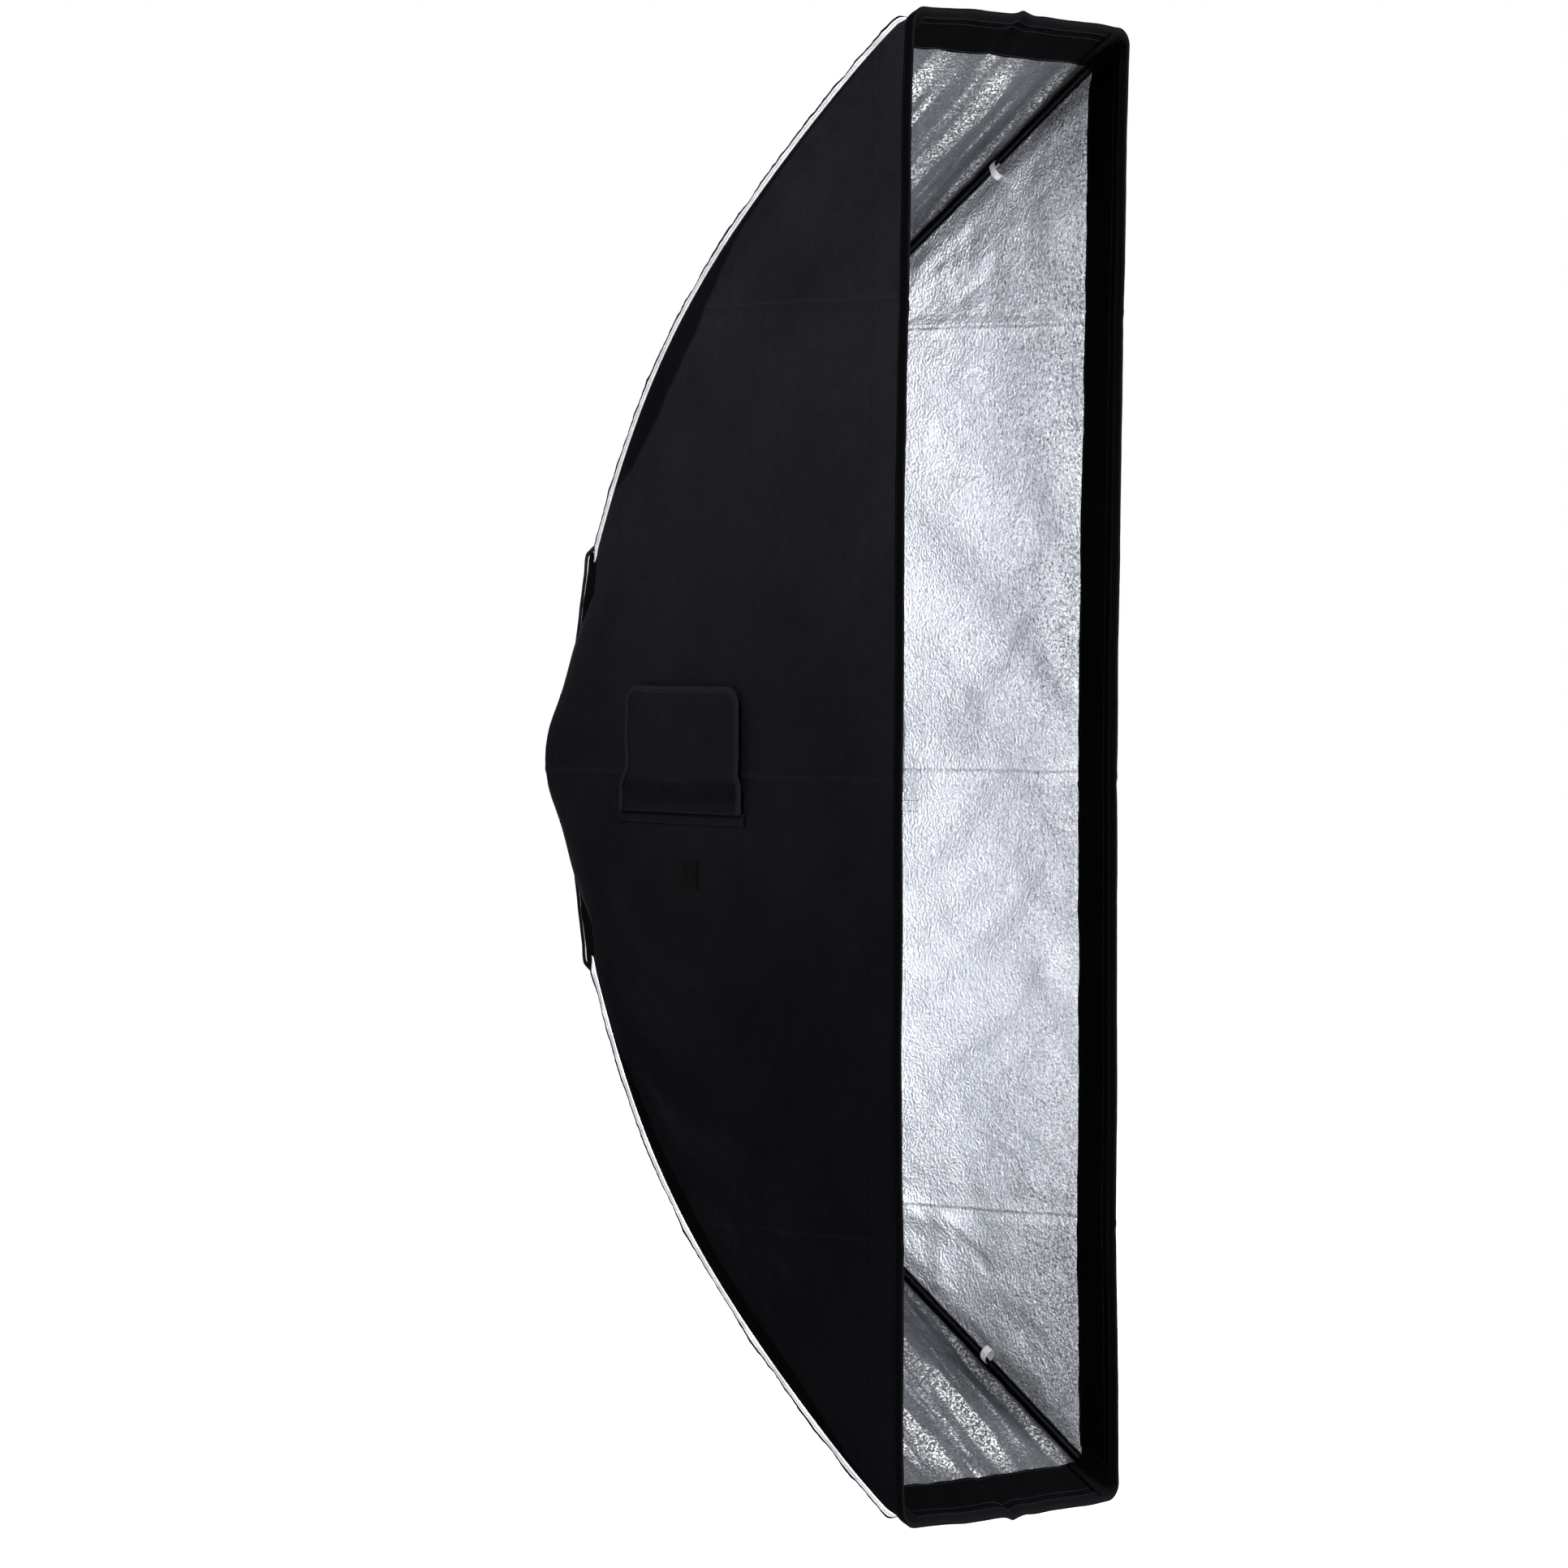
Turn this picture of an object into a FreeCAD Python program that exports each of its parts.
import FreeCAD, Part
import math
import os

# A tall rectangular softbox: cloth walls on four bowed corner rods, held by a speed ring.
# Millimetres, +Z up. The open front faces -Y and +X is to the right for a viewer in front.
# Origin: centre of the lamp bore at the rear face of the speed ring.

Vector = FreeCAD.Vector
ORIGIN = Vector(0, 0, 0)
X_AXIS, Y_AXIS, Z_AXIS = Vector(1, 0, 0), Vector(0, 1, 0), Vector(0, 0, 1)

# ---------------------------------------------------------------- driving dimensions
DEPTH = 705.0                             # front edge to the rear face of the ring
FRONT_Y = -DEPTH
ROD_FRONT_W, ROD_FRONT_H = 190.6, 890.6   # rod centre line at the front: half width, half height
ROD_RING_W, ROD_RING_H = 60.0, 78.0       # the same at the ring sockets
ROD_RING_Y = -3.0                         # y of the socket point
# Coefficients of s, s^2 and s^3 in the fall from front to ring; s^4 takes up the rest to 1.
HEIGHT_FALL = (0.541, 0.6449, -1.2992)
WIDTH_FALL = (0.2148, 0.2088, 1.4977)

# Layers: (inner, outer) offset outwards from the rod centre line
LIP_BAND = (2.2, 3.1)
CLOSURE_LOOP = (2.3, 3.2)
CLOSURE_HOOK = (3.2, 4.2)
LINING = (3.4, 4.2)
PANEL = (4.6, 6.2)
PIPING_X, PIPING_Z = (4.8, 6.1), (6.6, 12.8)
SEWN_PATCH = (6.3, 7.0)
VENT_LOOP = (6.35, 7.2)
VENT_HEM = (6.4, 8.4)
HEM_BINDING = (6.4, 7.3)
VENT_HOOK = (7.45, 8.5)
VENT_FLAP = (8.6, 9.8)
FLAP_BINDING = (9.9, 10.6)

CLOTH_REAR_Y = 0.0     # rear end of the cloth on the ring
SLIT_Y = -75.0         # where the top and bottom panels become closure flaps
EDGE_TUCK = 0.4        # sheet edge short of a layer's inner offset
FRONT_SETBACK = 1.5    # lining and lip bands start this far behind the front edge

ROD_R = 2.5
RING_R, RING_T = 95.0, 14.0               # ring body radius and thickness
SOCKET_R, SOCKET_BORE_R = 4.0, 2.6
SOCKET_FRONT, SOCKET_BACK = 25.0, 20.0    # socket length each side of the socket point
CLIP_PITCH_R = 83.0                       # clip screws and lock knob, from the axis
CLIP_ANGLES = (90.0, 210.0, 330.0)

os.makedirs("parts", exist_ok=True)


# ---------------------------------------------------------------- saving and mirroring
def mirror_x(shape):
    return shape.mirror(ORIGIN, X_AXIS)


def mirror_z(shape):
    return shape.mirror(ORIGIN, Z_AXIS)


def corners(shape):
    """Upper left shape -> all four corners."""
    return {"upper_left": shape, "upper_right": mirror_x(shape),
            "lower_left": mirror_z(shape), "lower_right": mirror_x(mirror_z(shape))}


def save(name, *shapes):
    solids = [solid for shape in shapes for solid in shape.Solids]
    piece = solids[0] if len(solids) == 1 else Part.makeCompound(solids)
    piece.exportStep("parts/" + name + ".step")


def save_left_right(name, *left):
    save(name + "_left", *left)
    save(name + "_right", *[mirror_x(shape) for shape in left])


def save_corners(name, upper_left):
    for corner, shape in corners(upper_left).items():
        save(name + "_" + corner, shape)


# ---------------------------------------------------------------- the corner curve
def unit(vector):
    result = Vector(vector)
    result.normalize()
    return result


def fall(coefficients, along):
    first, second, third = coefficients
    fourth = 1 - first - second - third
    return first * along + second * along ** 2 + third * along ** 3 + fourth * along ** 4


def rod_point(along):
    """Upper right rod centre line; along runs from 0 at the front to 1 at the ring socket."""
    return (ROD_FRONT_W - fall(WIDTH_FALL, along) * (ROD_FRONT_W - ROD_RING_W),
            FRONT_Y + along * (DEPTH + ROD_RING_Y),
            ROD_FRONT_H - fall(HEIGHT_FALL, along) * (ROD_FRONT_H - ROD_RING_H))


def left_rod_point(along):
    x, y, z = rod_point(along)
    return Vector(-x, y, z)


DIFF_STEP = 1e-4     # step in along for differences


def left_rod_direction(along):
    """Unit tangent of the upper left rod, pointing to the rear."""
    return unit(left_rod_point(along + DIFF_STEP) - left_rod_point(along - DIFF_STEP))


WIDE, HIGH = 0, 2    # coordinate index of the half width and the half height
TABLE_STEPS = 600
TABLE_OVERRUN = 0.03      # the table runs this far past both ends of the rod


def offset_table(axis, offset):
    """(y, half size) rows along the rod, moved out by offset along the curve's own normal."""
    rows = []
    for i in range(TABLE_STEPS + 1):
        along = -TABLE_OVERRUN + (1 + 2 * TABLE_OVERRUN) * i / TABLE_STEPS
        held = min(max(along, 0.0), 1.0)
        here = rod_point(held)
        before = rod_point(max(held - DIFF_STEP, 0))
        after = rod_point(min(held + DIFF_STEP, 1))
        run, rise = after[1] - before[1], after[axis] - before[axis]
        length = math.hypot(run, rise)
        extra = (along - held) * DEPTH
        y, size = here[1] + extra, here[axis] + extra * rise / run
        rows.append((y - offset * rise / length, size + offset * run / length))
    return rows


offset_tables = {}


def half_size(axis, offset, y):
    key = (axis, offset)
    if key not in offset_tables:
        offset_tables[key] = offset_table(axis, offset)
    rows = offset_tables[key]
    if y <= rows[0][0]:
        return rows[0][1]
    if y >= rows[-1][0]:
        return rows[-1][1]
    low, high = 0, len(rows) - 1
    while high - low > 1:
        middle = (low + high) // 2
        if rows[middle][0] <= y:
            low = middle
        else:
            high = middle
    (low_y, low_size), (high_y, high_size) = rows[low], rows[high]
    return low_size + (high_size - low_size) * (y - low_y) / (high_y - low_y)


def half_width(offset, y):
    return half_size(WIDE, offset, y)


def half_height(offset, y):
    return half_size(HIGH, offset, y)


# ---------------------------------------------------------------- cloth sheets
# y of the loft sections, front to rear, closer together towards the ring
STATIONS = [-705, -680, -640, -590, -530, -460, -390, -320, -260, -205,
            -160, -125, -100, -75, -55, -38, -25, -15, -7, 0]
STATION_GAP = 4      # stations this close to a sheet's end are left out

# Clearance of the panel's outer face over the ring's radius, and the blend into it
RING_SWELL = {WIDE: (2.8, 6.0), HIGH: (3.2, 3.0)}


def stations(front, rear):
    inside = [y for y in STATIONS if front + STATION_GAP < y < rear - STATION_GAP]
    return [front] + inside + [rear]


def spread(low, high, count):
    return [low + (high - low) * i / count for i in range(count + 1)]


def smooth_max(first, second, blend):
    return 0.5 * (first + second + math.sqrt((first - second) ** 2 + blend * blend))


def wall(axis, offset, y, fraction):
    """Wall distance from the axis, at a fraction (-1..1) of the way across the wall: flat
    between the rods, swelling to pass round the ring at the rear."""
    edge = half_size(axis, offset, y)
    clearance, blend = RING_SWELL[axis]
    middle = smooth_max(edge, RING_R + clearance + (offset - PANEL[1]), blend)
    return edge + (middle - edge) * (1 - fraction * fraction)


def left_wall_point(offset, y, z):
    return Vector(-wall(WIDE, offset, y, z / half_height(PANEL[1], y)), y, z)


def top_wall_point(offset, y, x):
    return Vector(x, y, wall(HIGH, offset, y, x / half_width(PANEL[1], y)))


def spline(points):
    curve = Part.BSplineCurve()
    curve.interpolate(points)
    return curve.toShape()


def sheet(wall_point, layer, y_values, upper, lower, spans):
    """Loft between the layer's two faces; upper(y) and lower(y) bound it across the wall.
    Without lower it is symmetric."""
    wires = []
    for y in y_values:
        high = upper(y)
        low = lower(y) if lower else -high
        across = spread(low, high, spans)
        inner, outer = [[wall_point(offset, y, place) for place in across] for offset in layer]
        wires.append(Part.Wire([spline(outer), Part.makeLine(outer[-1], inner[-1]),
                                spline(inner[::-1]), Part.makeLine(inner[0], outer[0])]))
    return Part.makeLoft(wires, True, False)


def side_sheet(layer, front, rear, upper, lower=None, spans=8):
    """Left wall sheet."""
    return sheet(left_wall_point, layer, stations(front, rear), upper, lower, spans)


def top_sheet(layer, front, rear, upper, lower=None, spans=6):
    return sheet(top_wall_point, layer, stations(front, rear), upper, lower, spans)


def side_patch(layer, front, rear, bottom, top, even_steps=0):
    """Left wall patch of constant height; even_steps replaces the station list."""
    y_values = spread(front, rear, even_steps) if even_steps else stations(front, rear)
    return sheet(left_wall_point, layer, y_values, lambda y: top, lambda y: bottom, 4)


def left_wall_prism(outline):
    """Cutter through the left wall from a YZ outline of (y, z, corner radius).
    Only square corners may have a radius."""
    prism_x, prism_length = -260.0, 240.0
    points = [Vector(prism_x, y, z) for y, z, radius in outline]
    count = len(outline)
    edges = []
    for i in range(count):
        start, corner, beyond = [points[(i + k) % count] for k in range(3)]
        start_radius, radius = outline[i][2], outline[(i + 1) % count][2]
        back, ahead = unit(start - corner), unit(beyond - corner)
        edges.append(Part.makeLine(start - back * start_radius, corner + back * radius))
        if radius:
            middle = corner + (back + ahead) * (radius * (1.0 - math.sin(math.pi / 4)))
            arc = Part.Arc(corner + back * radius, middle, corner + ahead * radius)
            edges.append(arc.toShape())
    return Part.Face(Part.Wire(edges)).extrude(X_AXIS * prism_length)


def vent_hole():
    front, rear, bottom, top, radius = -375.0, -175.0, -38.0, 58.0, 12.0
    return left_wall_prism([(front, bottom, radius), (rear, bottom, radius),
                            (rear, top, radius), (front, top, radius)])


def outer_panels():
    side = side_sheet(PANEL, FRONT_Y, CLOTH_REAR_Y, lambda y: half_height(PANEL[1], y))
    save_left_right("side_panel", side.cut(vent_hole()))
    top = top_sheet(PANEL, FRONT_Y, SLIT_Y, lambda y: half_width(PANEL[0] - EDGE_TUCK, y))
    save("top_panel", top)
    save("bottom_panel", mirror_z(top))


def silver_lining():
    front, side_rear, top_gap = FRONT_Y + FRONT_SETBACK, -18.0, 2.0
    edge = LINING[0] - EDGE_TUCK
    side = side_sheet(LINING, front, side_rear, lambda y: half_height(edge, y))
    save_left_right("side_lining", side.cut(vent_hole()))
    top = top_sheet(LINING, front, SLIT_Y - top_gap, lambda y: half_width(edge, y))
    save("top_lining", top)
    save("bottom_lining", mirror_z(top))


def seam_piping():
    """Piping standing proud along the four corners."""
    front_gap, rear_gap = 12.0, 2.0
    wires = []
    for y in stations(FRONT_Y + front_gap, SLIT_Y - rear_gap):
        x_in, x_out = [-half_width(offset, y) for offset in PIPING_X]
        z_in, z_out = [half_height(offset, y) for offset in PIPING_Z]
        outline = [(x_in, z_in), (x_out, z_in), (x_out, z_out), (x_in, z_out), (x_in, z_in)]
        wires.append(Part.makePolygon([Vector(x, y, z) for x, z in outline]))
    save_corners("seam_piping", Part.makeLoft(wires, True, False))


def centred_box(half_x, half_z, front, thickness):
    return Part.makeBox(2 * half_x, thickness, 2 * half_z, Vector(-half_x, front, -half_z))


def front_hem_binding():
    """One closed tape: a web round the front edge with a leg back along each wall."""
    leg_front, leg_rear = FRONT_Y - 0.9, FRONT_Y + 10.0
    web_rear, web_t = FRONT_Y - 0.3, 1.2
    opening_margin = 1.6      # web opening beyond the rod centre line
    outer = HEM_BINDING[1]
    side = side_sheet(HEM_BINDING, leg_front, leg_rear,
                      lambda y: half_height(outer, y), spans=3)
    top = top_sheet(HEM_BINDING, leg_front, leg_rear,
                    lambda y: half_width(outer, y), spans=3)
    binding = centred_box(half_width(outer, web_rear), half_height(outer, web_rear),
                          web_rear - web_t, web_t)
    binding = binding.cut(centred_box(ROD_FRONT_W + opening_margin,
                                      ROD_FRONT_H + opening_margin, web_rear - 3, 4))
    for leg in (side, mirror_x(side), top, mirror_z(top)):
        binding = binding.fuse(leg)
    save("front_hem_binding", binding)


def lip_bands():
    """Hook-and-loop bands inside the front lip."""
    front, rear = FRONT_Y + FRONT_SETBACK, FRONT_Y + 55.0
    end_gap = 14.0            # each band stops short of the rods
    side = side_sheet(LIP_BAND, front, rear, lambda y: half_height(0, y) - end_gap, spans=3)
    save_left_right("lip_band", side)
    top = top_sheet(LIP_BAND, front, rear, lambda y: half_width(0, y) - end_gap, spans=3)
    save("lip_band_top", top)
    save("lip_band_bottom", mirror_z(top))


# ---------------------------------------------------------------- vent flaps
VENT_FRONT, VENT_REAR = -406.0, -131.0
VENT_BOTTOM, VENT_TOP = -62.5, 94.0
FLAP_STEP = 20.0                          # rear edge steps in this far above its foot
STEP_BOTTOM, STEP_TOP = -30.0, 8.0        # height range of the slanted step
FLAP_CORNER_R = 24.0
VENT_STRIPS = ((-390.0, -330.0), (-226.0, -166.0))    # front, rear
STRIP_BOTTOM, STRIP_TOP = 66.0, 84.0


def flap_prism(inset, bottom):
    """Flap outline with both top corners round."""
    front, foot_rear, top = VENT_FRONT + inset, VENT_REAR - inset, VENT_TOP - inset
    rear = foot_rear - FLAP_STEP
    radius = FLAP_CORNER_R - inset
    return left_wall_prism([(front, bottom, 0), (foot_rear, bottom, 0),
                            (foot_rear, STEP_BOTTOM, 0), (rear, STEP_TOP, 0),
                            (rear, top, radius), (front, top, radius)])


def vent_flaps():
    binding_width, bottom_overcut = 9.0, 20.0
    extent = (VENT_FRONT, VENT_REAR, VENT_BOTTOM, VENT_TOP)
    outline = flap_prism(0.0, VENT_BOTTOM)
    save_left_right("vent_flap", side_patch(VENT_FLAP, *extent).common(outline))
    binding = side_patch(FLAP_BINDING, *extent).common(outline)
    binding = binding.cut(flap_prism(binding_width, VENT_BOTTOM - bottom_overcut))
    save_left_right("vent_flap_binding", binding)


def vent_hems():
    hem_bottom, flap_gap = -76.0, 1.6
    save_left_right("vent_hem", side_patch(VENT_HEM, VENT_FRONT, VENT_REAR,
                                           hem_bottom, VENT_BOTTOM - flap_gap))


def vent_fasteners():
    """Loop strips above the vent hole; hook tabs over them are inset all round."""
    for name, layer, inset in (("vent_loop_strips", VENT_LOOP, 0),
                               ("vent_hook_tabs", VENT_HOOK, 1)):
        save_left_right(name, *[
            side_patch(layer, front + inset, rear - inset,
                       STRIP_BOTTOM + inset, STRIP_TOP - inset, even_steps=4)
            for front, rear in VENT_STRIPS])


def sewn_patch():
    """Small patch below the left flap."""
    front, rear, bottom, top = -305.0, -271.0, -156.0, -121.0
    save("sewn_patch", side_patch(SEWN_PATCH, front, rear, bottom, top))


# ---------------------------------------------------------------- closures beside the ring
def closures():
    slit_gap = 1.6
    flap = top_sheet(PANEL, SLIT_Y + slit_gap, CLOTH_REAR_Y, lambda y: half_width(2.0, y))
    save("closure_flap_top", flap)
    save("closure_flap_bottom", mirror_z(flap))

    # Strips inside the corners; a negative offset lies inwards of the rod centre line.
    strip_front, strip_rear = SLIT_Y + 6.0, -26.0
    near_rod, hook_far, loop_far = -4.0, -20.0, -22.0
    hook = top_sheet(CLOSURE_HOOK, strip_front, strip_rear,
                     lambda y: half_width(near_rod, y),
                     lambda y: half_width(hook_far, y), spans=3)
    save("closure_hook_tabs_top", hook, mirror_x(hook))
    save("closure_hook_tabs_bottom", mirror_z(hook), mirror_z(mirror_x(hook)))
    loop = side_sheet(CLOSURE_LOOP, strip_front, strip_rear,
                      lambda y: half_height(near_rod, y),
                      lambda y: half_height(loop_far, y), spans=3)
    save("closure_loop_strips", *corners(loop).values())


# ---------------------------------------------------------------- rods and their fittings
# All are built on the upper left rod.
SEARCH_STEP = 0.0005
ROD_START = 0.048          # place along the curve where the rod meets its tip cap
ROD_SOCKET_GAP = 1.0       # rod stops this far in front of its socket


def along_from_ring(distance):
    """Place along the curve at an arc length in front of the socket point."""
    along, travelled, here = 1.0, 0.0, rod_point(1.0)
    while travelled < distance and along > 0:
        along -= SEARCH_STEP
        ahead = rod_point(along)
        travelled += math.dist(here, ahead)
        here = ahead
    return along


ROD_END = along_from_ring(SOCKET_FRONT + ROD_SOCKET_GAP)
TIP_POINT = left_rod_point(ROD_START)
TIP_FORWARD = left_rod_direction(ROD_START) * -1
SOCKET_POINT = left_rod_point(1.0)
SOCKET_FORWARD = unit(left_rod_point(ROD_END) - SOCKET_POINT)


def rod_sweep(start, end, radius, count):
    points = [left_rod_point(along) for along in spread(start, end, count - 1)]
    path = Part.Wire(spline(points))
    profile = Part.Wire(Part.makeCircle(radius, points[0], left_rod_direction(start)))
    return path.makePipeShell([profile], True, True)


def is_circle(edge):
    return edge.Curve.TypeId == "Part::GeomCircle"


def rods():
    save_corners("rod", rod_sweep(ROD_START, ROD_END, ROD_R, 40))


def rod_tip_caps():
    """Round-nosed caps on the front ends of the rods."""
    length = 10.0
    cap = Part.makeCylinder(ROD_R, length, TIP_POINT, TIP_FORWARD)
    cap = cap.fuse(Part.makeSphere(ROD_R, TIP_POINT + TIP_FORWARD * length)).removeSplitter()
    save("rod_tip_caps", *corners(cap).values())


def corner_pockets():
    """Sleeves round the rod tips: straight and closed over the cap, following the rod behind."""
    outer_r, inner_r = 3.3, 2.6
    front_length, front_bore, rear_reach = 13.4, 12.9, 28.0
    rear_end = ROD_START + SEARCH_STEP
    while math.dist(rod_point(rear_end), rod_point(ROD_START)) <= rear_reach:
        rear_end += SEARCH_STEP
    sleeve = rod_sweep(ROD_START, rear_end, outer_r, 10)
    sleeve = sleeve.cut(rod_sweep(ROD_START, rear_end, inner_r, 10))
    tube = Part.makeCylinder(outer_r, front_length, TIP_POINT, TIP_FORWARD)
    tube = tube.cut(Part.makeCylinder(inner_r, front_bore, TIP_POINT, TIP_FORWARD))
    save_corners("corner_pocket", sleeve.fuse(tube).removeSplitter())


def rod_end_pins():
    """Steel pins through the sockets, each with a round knob behind."""
    front_overlap, rear_overlap = 0.4, 0.8
    knob_r, knob_length, knob_gap, knob_fillet = 3.9, 5.0, 0.5, 1.6
    backward = SOCKET_FORWARD * -1
    pin = Part.makeCylinder(ROD_R, SOCKET_FRONT + SOCKET_BACK + front_overlap + rear_overlap,
                            SOCKET_POINT + SOCKET_FORWARD * (SOCKET_FRONT + front_overlap),
                            backward)
    knob = Part.makeCylinder(knob_r, knob_length,
                             SOCKET_POINT + backward * (SOCKET_BACK + knob_gap), backward)
    knob_end = SOCKET_POINT + backward * (SOCKET_BACK + knob_gap + knob_length)
    knob = knob.makeFillet(knob_fillet, [
        edge for edge in knob.Edges
        if is_circle(edge) and abs((edge.CenterOfMass - knob_end).Length) < 0.1])
    save("rod_end_pins", *corners(pin.fuse(knob).removeSplitter()).values())


def rod_loops():
    """White elastic loops round the rods, each with a flat tab pointing inwards."""
    loop_along = 0.285
    outer_r, inner_r, length, overcut = 3.3, 2.7, 10.0, 1.0
    tab_length, tab_t, tab_start = 18.0, 1.0, 2.9
    centre, rearward = left_rod_point(loop_along), left_rod_direction(loop_along)
    loop = Part.makeCylinder(outer_r, length, centre - rearward * (length / 2), rearward)
    loop = loop.cut(Part.makeCylinder(inner_r, length + 2 * overcut,
                                      centre - rearward * (length / 2 + overcut), rearward))
    inward = Vector(1, 0, -1)
    inward = unit(inward - rearward * inward.dot(rearward))
    across = rearward.cross(inward)
    tab = Part.makeBox(tab_length, tab_t, length)
    tab = tab.transformGeometry(FreeCAD.Matrix(
        inward.x, across.x, rearward.x, 0,
        inward.y, across.y, rearward.y, 0,
        inward.z, across.z, rearward.z, 0,
        0, 0, 0, 1))
    tab.translate(centre + inward * tab_start - across * (tab_t / 2)
                  - rearward * (length / 2))
    save_corners("rod_loop", loop.fuse(tab).removeSplitter())


# ---------------------------------------------------------------- speed ring
SEAT_R, SEAT_Y = 72.08, -10.5      # seat of the rotating insert and its floor
LIP_R = 68.5                       # front lip that stops the insert
COLLAR_R, COLLAR_Y = 49.0, 14.0    # bayonet collar and its rear end


def y_cylinder(radius, front, rear, x=0, z=0):
    return Part.makeCylinder(radius, rear - front, Vector(x, front, z), Y_AXIS)


def polar(radius, degrees):
    """x and z at an angle from +X towards +Z."""
    angle = math.radians(degrees)
    return radius * math.cos(angle), radius * math.sin(angle)


def turned(shape, degrees):
    """Copy turned about the lamp axis; a negative angle turns +X towards +Z."""
    copy = shape.copy()
    copy.rotate(ORIGIN, Y_AXIS, degrees)
    return copy


def ring_body():
    ring_fillet = 2.0
    groove_inner, groove_outer, groove_depth = 75.5, 90.0, 4.0
    rib_start, rib_length, rib_depth, rib_width = 72, 22, 4.2, 9
    rib_height_factor = 0.92       # turns the ribs slightly below the socket points
    pad_x, pad_z, pad_r, pad_front, pad_rear = -59.0, 64.5, 6.0, -1.0, 3.6
    bore_overrun = 10
    knob_way_r, knob_way_length, knob_way_gap = 4.3, 12, 0.2
    hole_front, hole_rear = -12, 8
    screw_hole_r, stud_hole_r = 2.0, 2.55

    body = y_cylinder(RING_R, -RING_T, 0)
    body = body.makeFillet(ring_fillet, [edge for edge in body.Edges if is_circle(edge)])
    body = body.cut(y_cylinder(SEAT_R, SEAT_Y, 1)).cut(y_cylinder(LIP_R, -RING_T - 1, 1))
    # Lightening groove on the front face, bridged by four ribs at the sockets
    groove = y_cylinder(groove_outer, -RING_T - 1, -RING_T + groove_depth)
    body = body.cut(groove.cut(y_cylinder(groove_inner, -RING_T - 2,
                                          -RING_T + groove_depth + 1)))
    for side in (-1, 1):
        for level in (-1, 1):
            rib = Part.makeBox(rib_length, rib_depth, rib_width,
                               Vector(rib_start, -RING_T, -rib_width / 2))
            rib_angle = math.atan2(level * ROD_RING_H * rib_height_factor, side * ROD_RING_W)
            body = body.fuse(turned(rib, -math.degrees(rib_angle)))

    # Socket tubes, with a round pad under the rear of each
    backward = SOCKET_FORWARD * -1
    socket_length = SOCKET_FRONT + SOCKET_BACK
    tube = Part.makeCylinder(SOCKET_R, socket_length,
                             SOCKET_POINT + backward * SOCKET_BACK, SOCKET_FORWARD)
    pad = y_cylinder(pad_r, pad_front, pad_rear, pad_x, pad_z)
    for addition in (tube, pad):
        for shape in corners(addition).values():
            body = body.fuse(shape)
    bore = Part.makeCylinder(SOCKET_BORE_R, socket_length + 2 * bore_overrun,
                             SOCKET_POINT + backward * (SOCKET_BACK + bore_overrun),
                             SOCKET_FORWARD)
    knob_way = Part.makeCylinder(knob_way_r, knob_way_length,
                                 SOCKET_POINT + backward * (SOCKET_BACK + knob_way_gap),
                                 backward)
    for cutter in (bore, knob_way):
        for shape in corners(cutter).values():
            body = body.cut(shape)

    # Blind holes for the clip screws and the lock knob's stud
    for angle in CLIP_ANGLES:
        x, z = polar(CLIP_PITCH_R, angle)
        body = body.cut(y_cylinder(screw_hole_r, hole_front, hole_rear, x, z))
    body = body.cut(y_cylinder(stud_hole_r, hole_front, hole_rear, 0, -CLIP_PITCH_R))
    save("ring_body", body.removeSplitter())


def ring_insert():
    """Rotating insert: flange in the seat, bayonet collar behind, three lugs."""
    flange_r, flange_front, flange_rear = 72.0, -10.4, -0.2
    collar_front, bore_r = -1.0, 45.0
    recess_inner, recess_outer, recess_floor = 54.5, 66.0, -4.2
    lug_r, lug_root_r, lug_front, lug_rear = 54.0, COLLAR_R - 1.5, 6.0, 10.0
    lug_half_angle, wedge_steps, wedge_r = 15.0, 6, 80
    pocket_pitch_r, pocket_r, pocket_front, pocket_rear = 60.0, 3.2, -7.0, -4.0
    rim_chamfer = 0.6

    insert = y_cylinder(flange_r, flange_front, flange_rear)
    insert = insert.fuse(y_cylinder(COLLAR_R, collar_front, COLLAR_Y))
    recess = y_cylinder(recess_outer, recess_floor, 0.5)
    insert = insert.cut(recess.cut(y_cylinder(recess_inner, -6, 2)))
    insert = insert.cut(y_cylinder(bore_r, -20, 30))
    for middle in (90.0, 210.0, 330.0):
        lug_ring = y_cylinder(lug_r, lug_front, lug_rear).cut(y_cylinder(lug_root_r, 0, 20))
        outline = [ORIGIN]
        for angle in spread(middle - lug_half_angle, middle + lug_half_angle, wedge_steps):
            x, z = polar(wedge_r, angle)
            outline.append(Vector(x, 0, z))
        outline.append(ORIGIN)
        wedge = Part.Face(Part.makePolygon(outline)).extrude(Vector(0, 30, 0))
        wedge.translate(Vector(0, -5, 0))
        insert = insert.fuse(lug_ring.common(wedge))
    # Three round blind pockets in the recess floor
    for angle in (30.0, 150.0, 270.0):
        x, z = polar(pocket_pitch_r, angle)
        insert = insert.cut(y_cylinder(pocket_r, pocket_front, pocket_rear, x, z))
    insert = insert.removeSplitter()
    rim = [edge for edge in insert.Edges
           if is_circle(edge) and abs(edge.CenterOfMass.y - COLLAR_Y) < 0.01]
    # Guards the chamfer of the collar's rear rim: if it fails, the rim stays square.
    try:
        chamfered = insert.makeChamfer(rim_chamfer, rim)
        if chamfered.isValid():
            insert = chamfered
    except Exception:
        pass
    save("ring_insert", insert)


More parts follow.
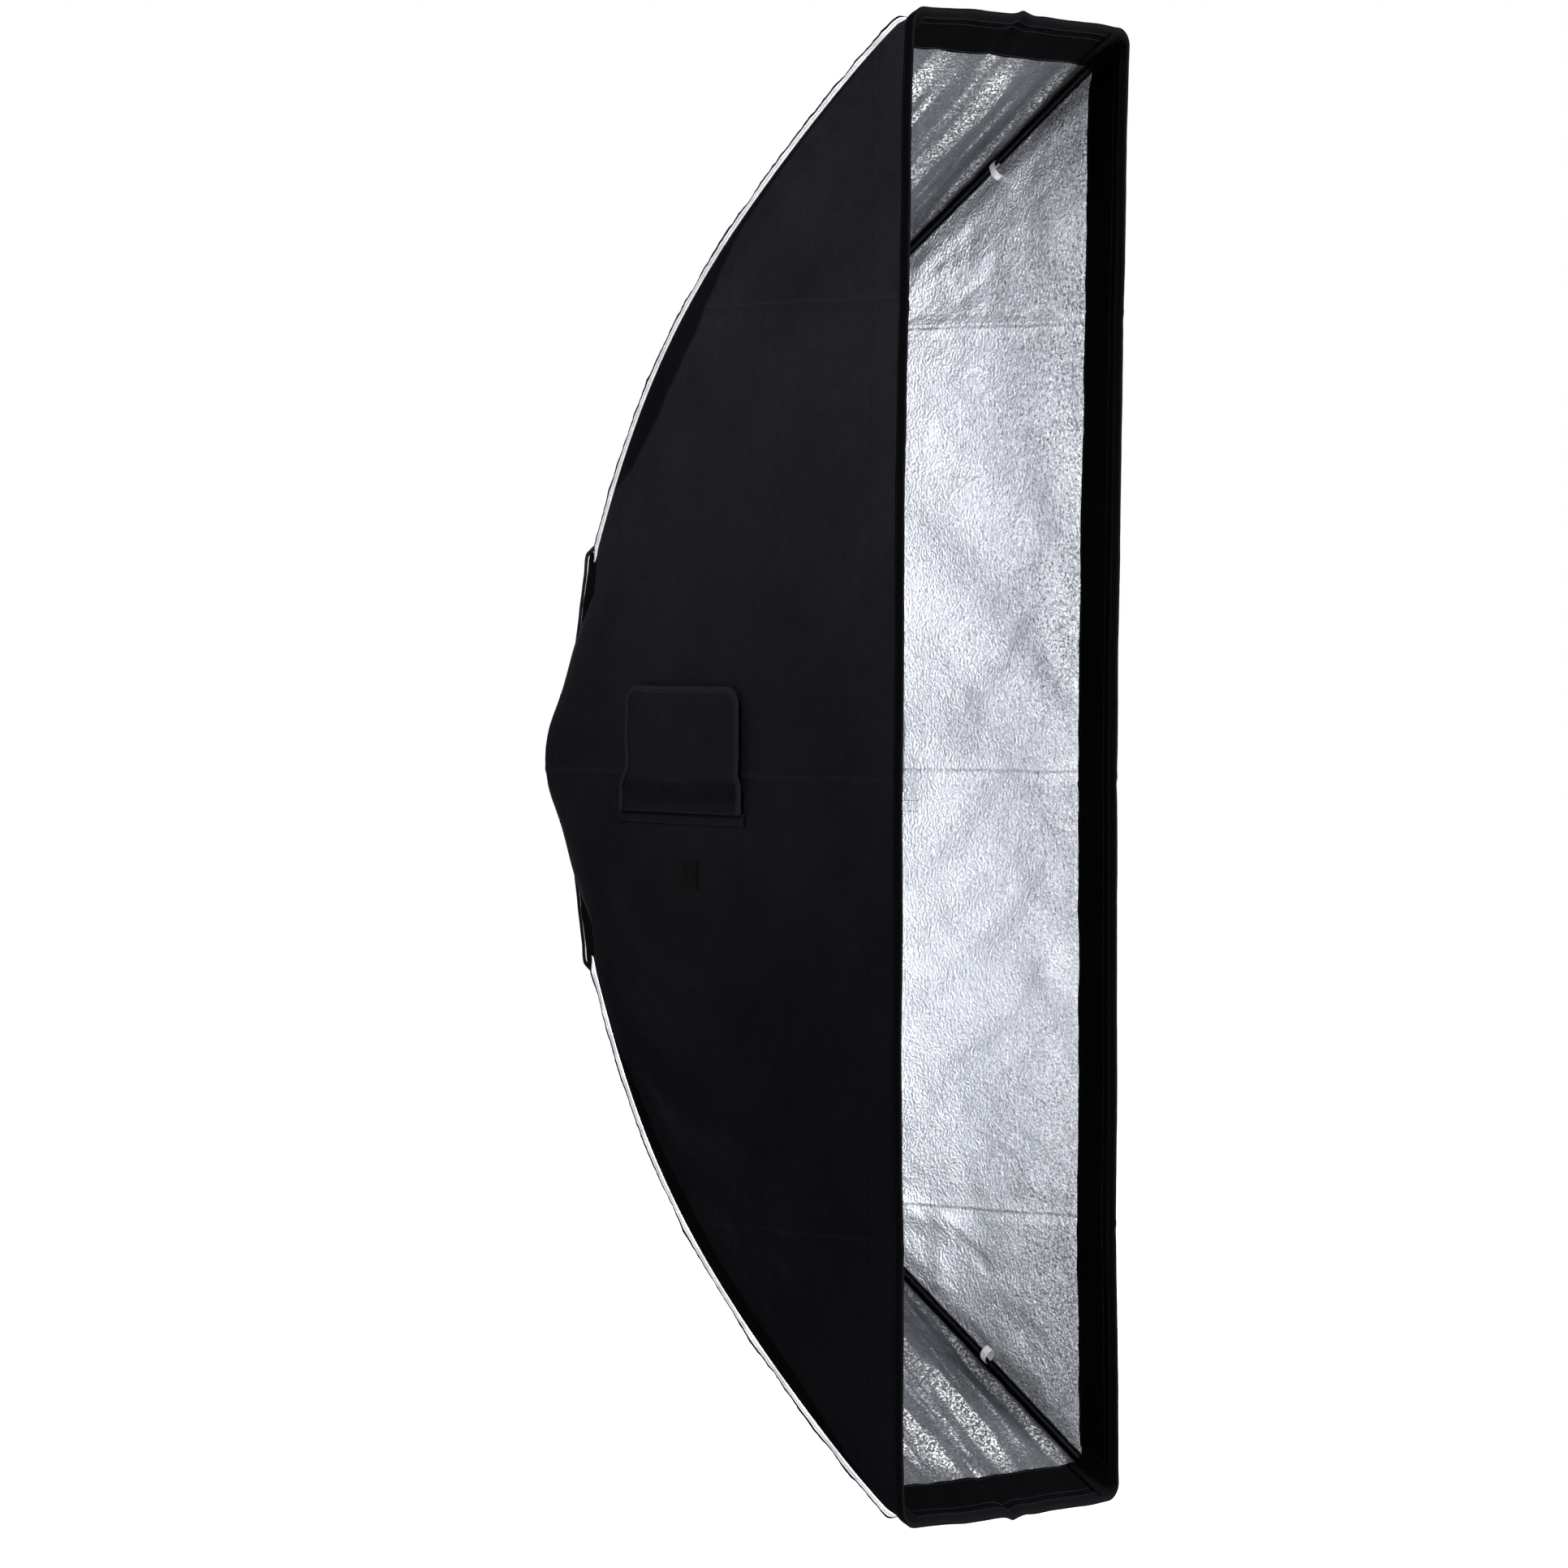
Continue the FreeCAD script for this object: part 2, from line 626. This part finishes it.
# Clips, screws and the lock are built on +X, then turned into place.
def clip_shape(front, hole_r, outer_end, width):
    """Flat clip with a round outer end, pierced at the clip pitch radius."""
    thickness, inner_end, corner_fillet = 2.0, 66.5, 2.5
    rear = front + thickness
    bar = Part.makeBox(outer_end - inner_end - width / 2, thickness, width,
                       Vector(inner_end, front, -width / 2))
    clip = bar.fuse(y_cylinder(width / 2, front, rear, outer_end - width / 2))
    clip = clip.removeSplitter()
    clip = clip.makeFillet(corner_fillet, [
        edge for edge in clip.Edges
        if abs(edge.CenterOfMass.x - inner_end) < 0.01
        and abs(abs(edge.CenterOfMass.z) - width / 2) < 0.01
        and abs(edge.CenterOfMass.y - front - thickness / 2) < 0.01])
    return clip.cut(y_cylinder(hole_r, front - 2, rear + 2, CLIP_PITCH_R))


def insert_clips():
    clip = clip_shape(front=0.1, hole_r=2.1, outer_end=90.0, width=13.0)
    for i, angle in enumerate(CLIP_ANGLES):
        save("insert_clip_%d" % (i + 1), turned(clip, -angle))


def clip_screws():
    shank_r, shank_front, shank_rear = 1.9, -11.2, 2.4
    head_r, head_front, head_rear, head_fillet = 4.0, 2.2, 4.6, 0.9
    slot_front, slot_depth, slot_length, slot_width = 3.5, 1.4, 5.0, 1.0
    screw = y_cylinder(shank_r, shank_front, shank_rear, CLIP_PITCH_R)
    screw = screw.fuse(y_cylinder(head_r, head_front, head_rear, CLIP_PITCH_R))
    screw = screw.removeSplitter()
    screw = screw.makeFillet(head_fillet, [
        edge for edge in screw.Edges
        if is_circle(edge) and abs(edge.CenterOfMass.y - head_rear) < 0.01])
    slots = [Part.makeBox(size_x, slot_depth, size_z,
                          Vector(CLIP_PITCH_R - size_x / 2, slot_front, -size_z / 2))
             for size_x, size_z in ((slot_length, slot_width), (slot_width, slot_length))]
    screw = screw.cut(slots[0].fuse(slots[1]))
    save("clip_screws", *[turned(screw, -angle) for angle in CLIP_ANGLES])


LOCK_TURN = 90.0     # to the bottom of the ring


def lock_shoe():
    """Clamp shoe with a pad on its front face, towards the insert's flange."""
    shoe = clip_shape(front=0.6, hole_r=2.65, outer_end=89.5, width=12.0)
    pad = Part.makeBox(3.0, 0.48, 6.0, Vector(68.0, 0.32, -3.0))
    save("lock_shoe", turned(shoe.fuse(pad).removeSplitter(), LOCK_TURN))


def lock_knob():
    """Scalloped knob with a hub and a stud in front of it."""
    knob_r, knob_front, knob_rear, knob_fillet = 11.0, 6.0, 16.0, 1.5
    scallop_count, scallop_r, scallop_pitch_r = 8, 3.0, 12.6
    hub_r, hub_front, hub_rear = 5.5, 2.9, 6.1
    stud_r, stud_front, stud_rear = 2.45, -11.0, 4.0
    knob = y_cylinder(knob_r, knob_front, knob_rear, CLIP_PITCH_R)
    knob = knob.makeFillet(knob_fillet, [edge for edge in knob.Edges if is_circle(edge)])
    for i in range(scallop_count):
        x, z = polar(scallop_pitch_r, 360 / scallop_count * (i + 0.5))
        knob = knob.cut(y_cylinder(scallop_r, knob_front - 2, knob_rear + 2,
                                   CLIP_PITCH_R + x, z))
    knob = knob.fuse(y_cylinder(hub_r, hub_front, hub_rear, CLIP_PITCH_R))
    knob = knob.fuse(y_cylinder(stud_r, stud_front, stud_rear, CLIP_PITCH_R))
    save("lock_knob", turned(knob.removeSplitter(), LOCK_TURN))


for build in (outer_panels, silver_lining, seam_piping, front_hem_binding, lip_bands,
              rods, rod_tip_caps, corner_pockets, rod_end_pins, rod_loops,
              vent_flaps, vent_hems, vent_fasteners, sewn_patch, closures,
              ring_body, ring_insert, insert_clips, clip_screws, lock_shoe, lock_knob):
    build()
